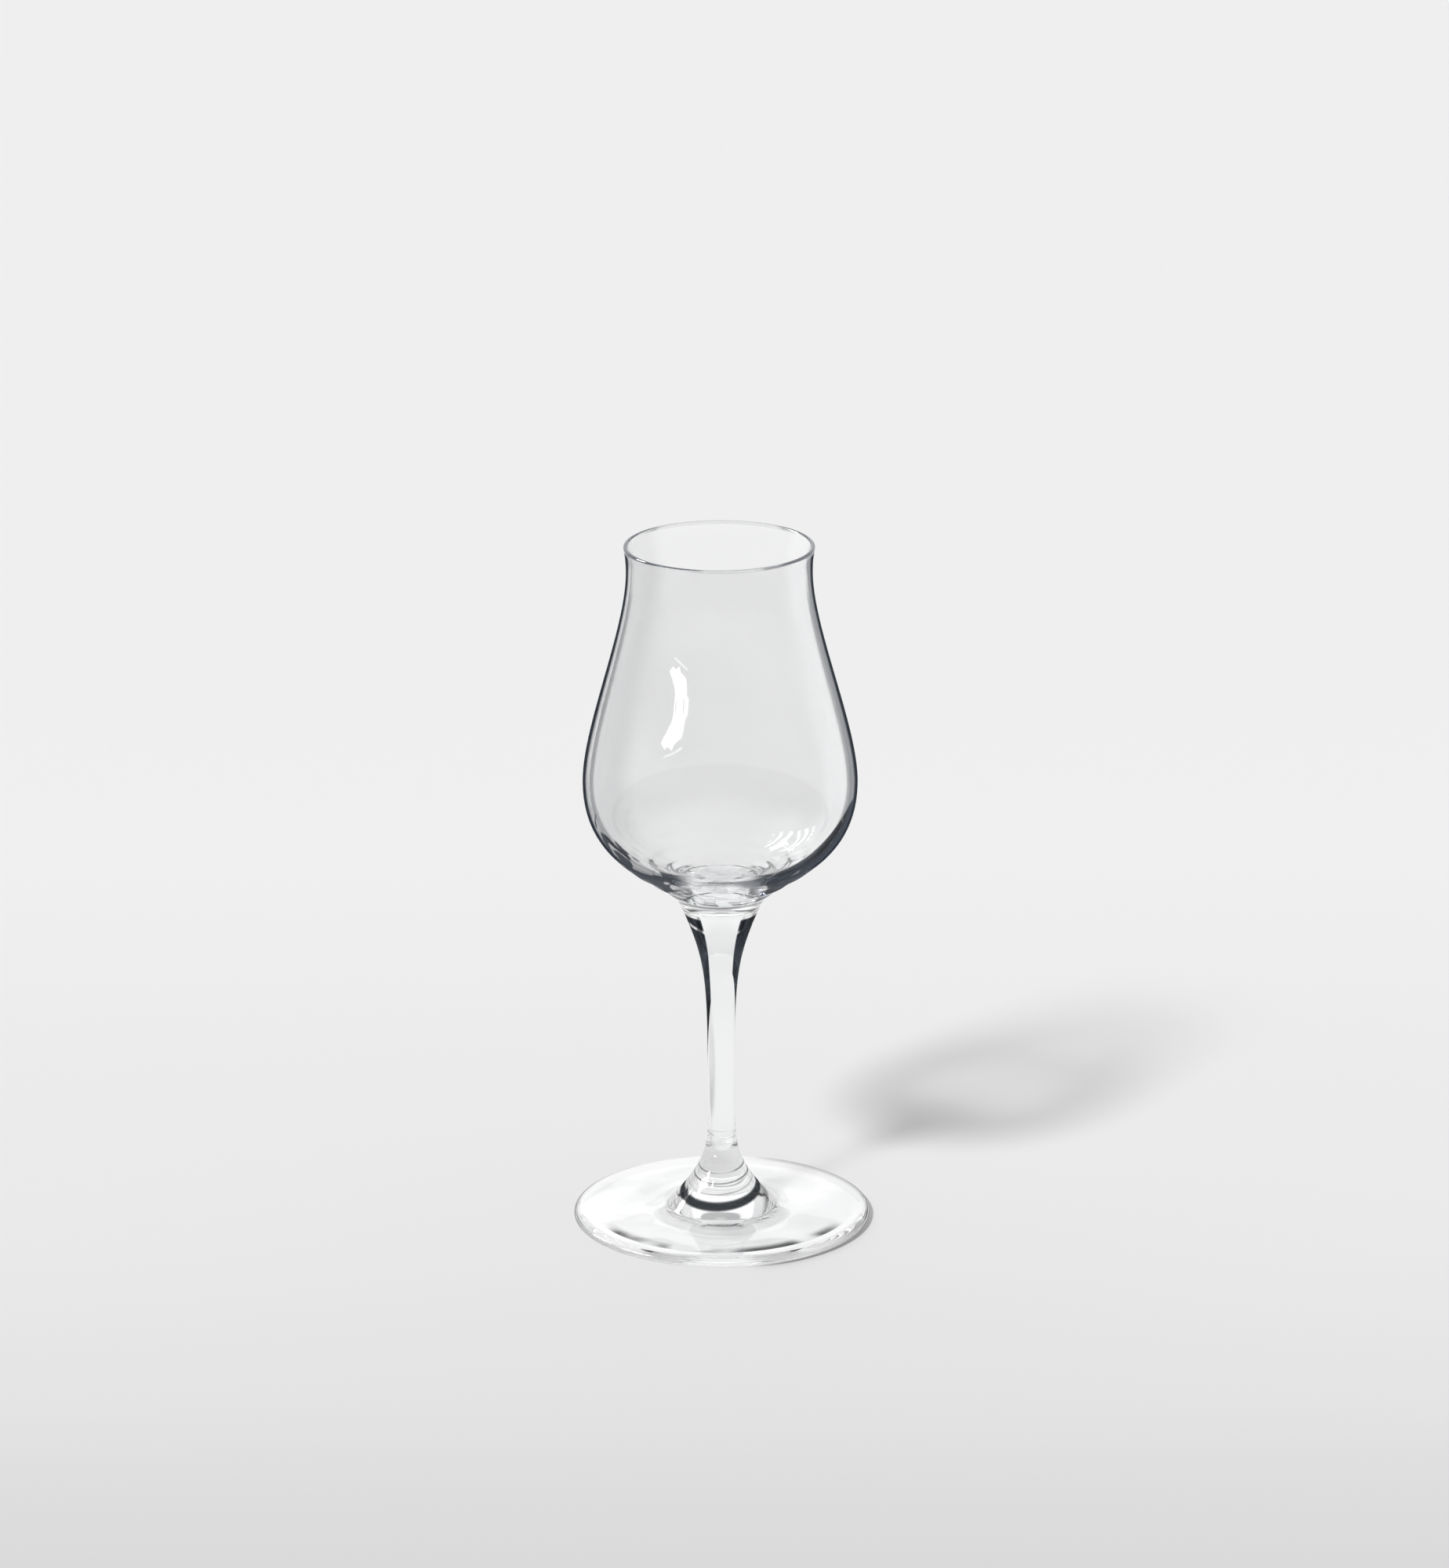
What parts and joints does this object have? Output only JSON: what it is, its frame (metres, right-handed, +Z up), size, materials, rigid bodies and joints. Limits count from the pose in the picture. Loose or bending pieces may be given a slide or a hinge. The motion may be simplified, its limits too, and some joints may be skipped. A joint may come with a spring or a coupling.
{
  "type": "whisky tasting glass",
  "caption": "Clear stemmed tulip glass for nosing and tasting spirits: thin drawn-in bowl with a slightly flared lip, slim stem flared under the bowl, round flat foot.",
  "frame": {"origin": "middle of the flat surface that the foot stands on", "axes": "+Z up along the stem to the lip; the glass is round about Z, so +X and +Y are free"},
  "size_m": [0.07, 0.07, 0.165],
  "materials": {
    "clear_glass": "clear, fire polished"
  },
  "bodies": {
    "root": {"bowl": "clear_glass", "stem": "clear_glass", "foot": "clear_glass"}
  },
  "joints": []
}
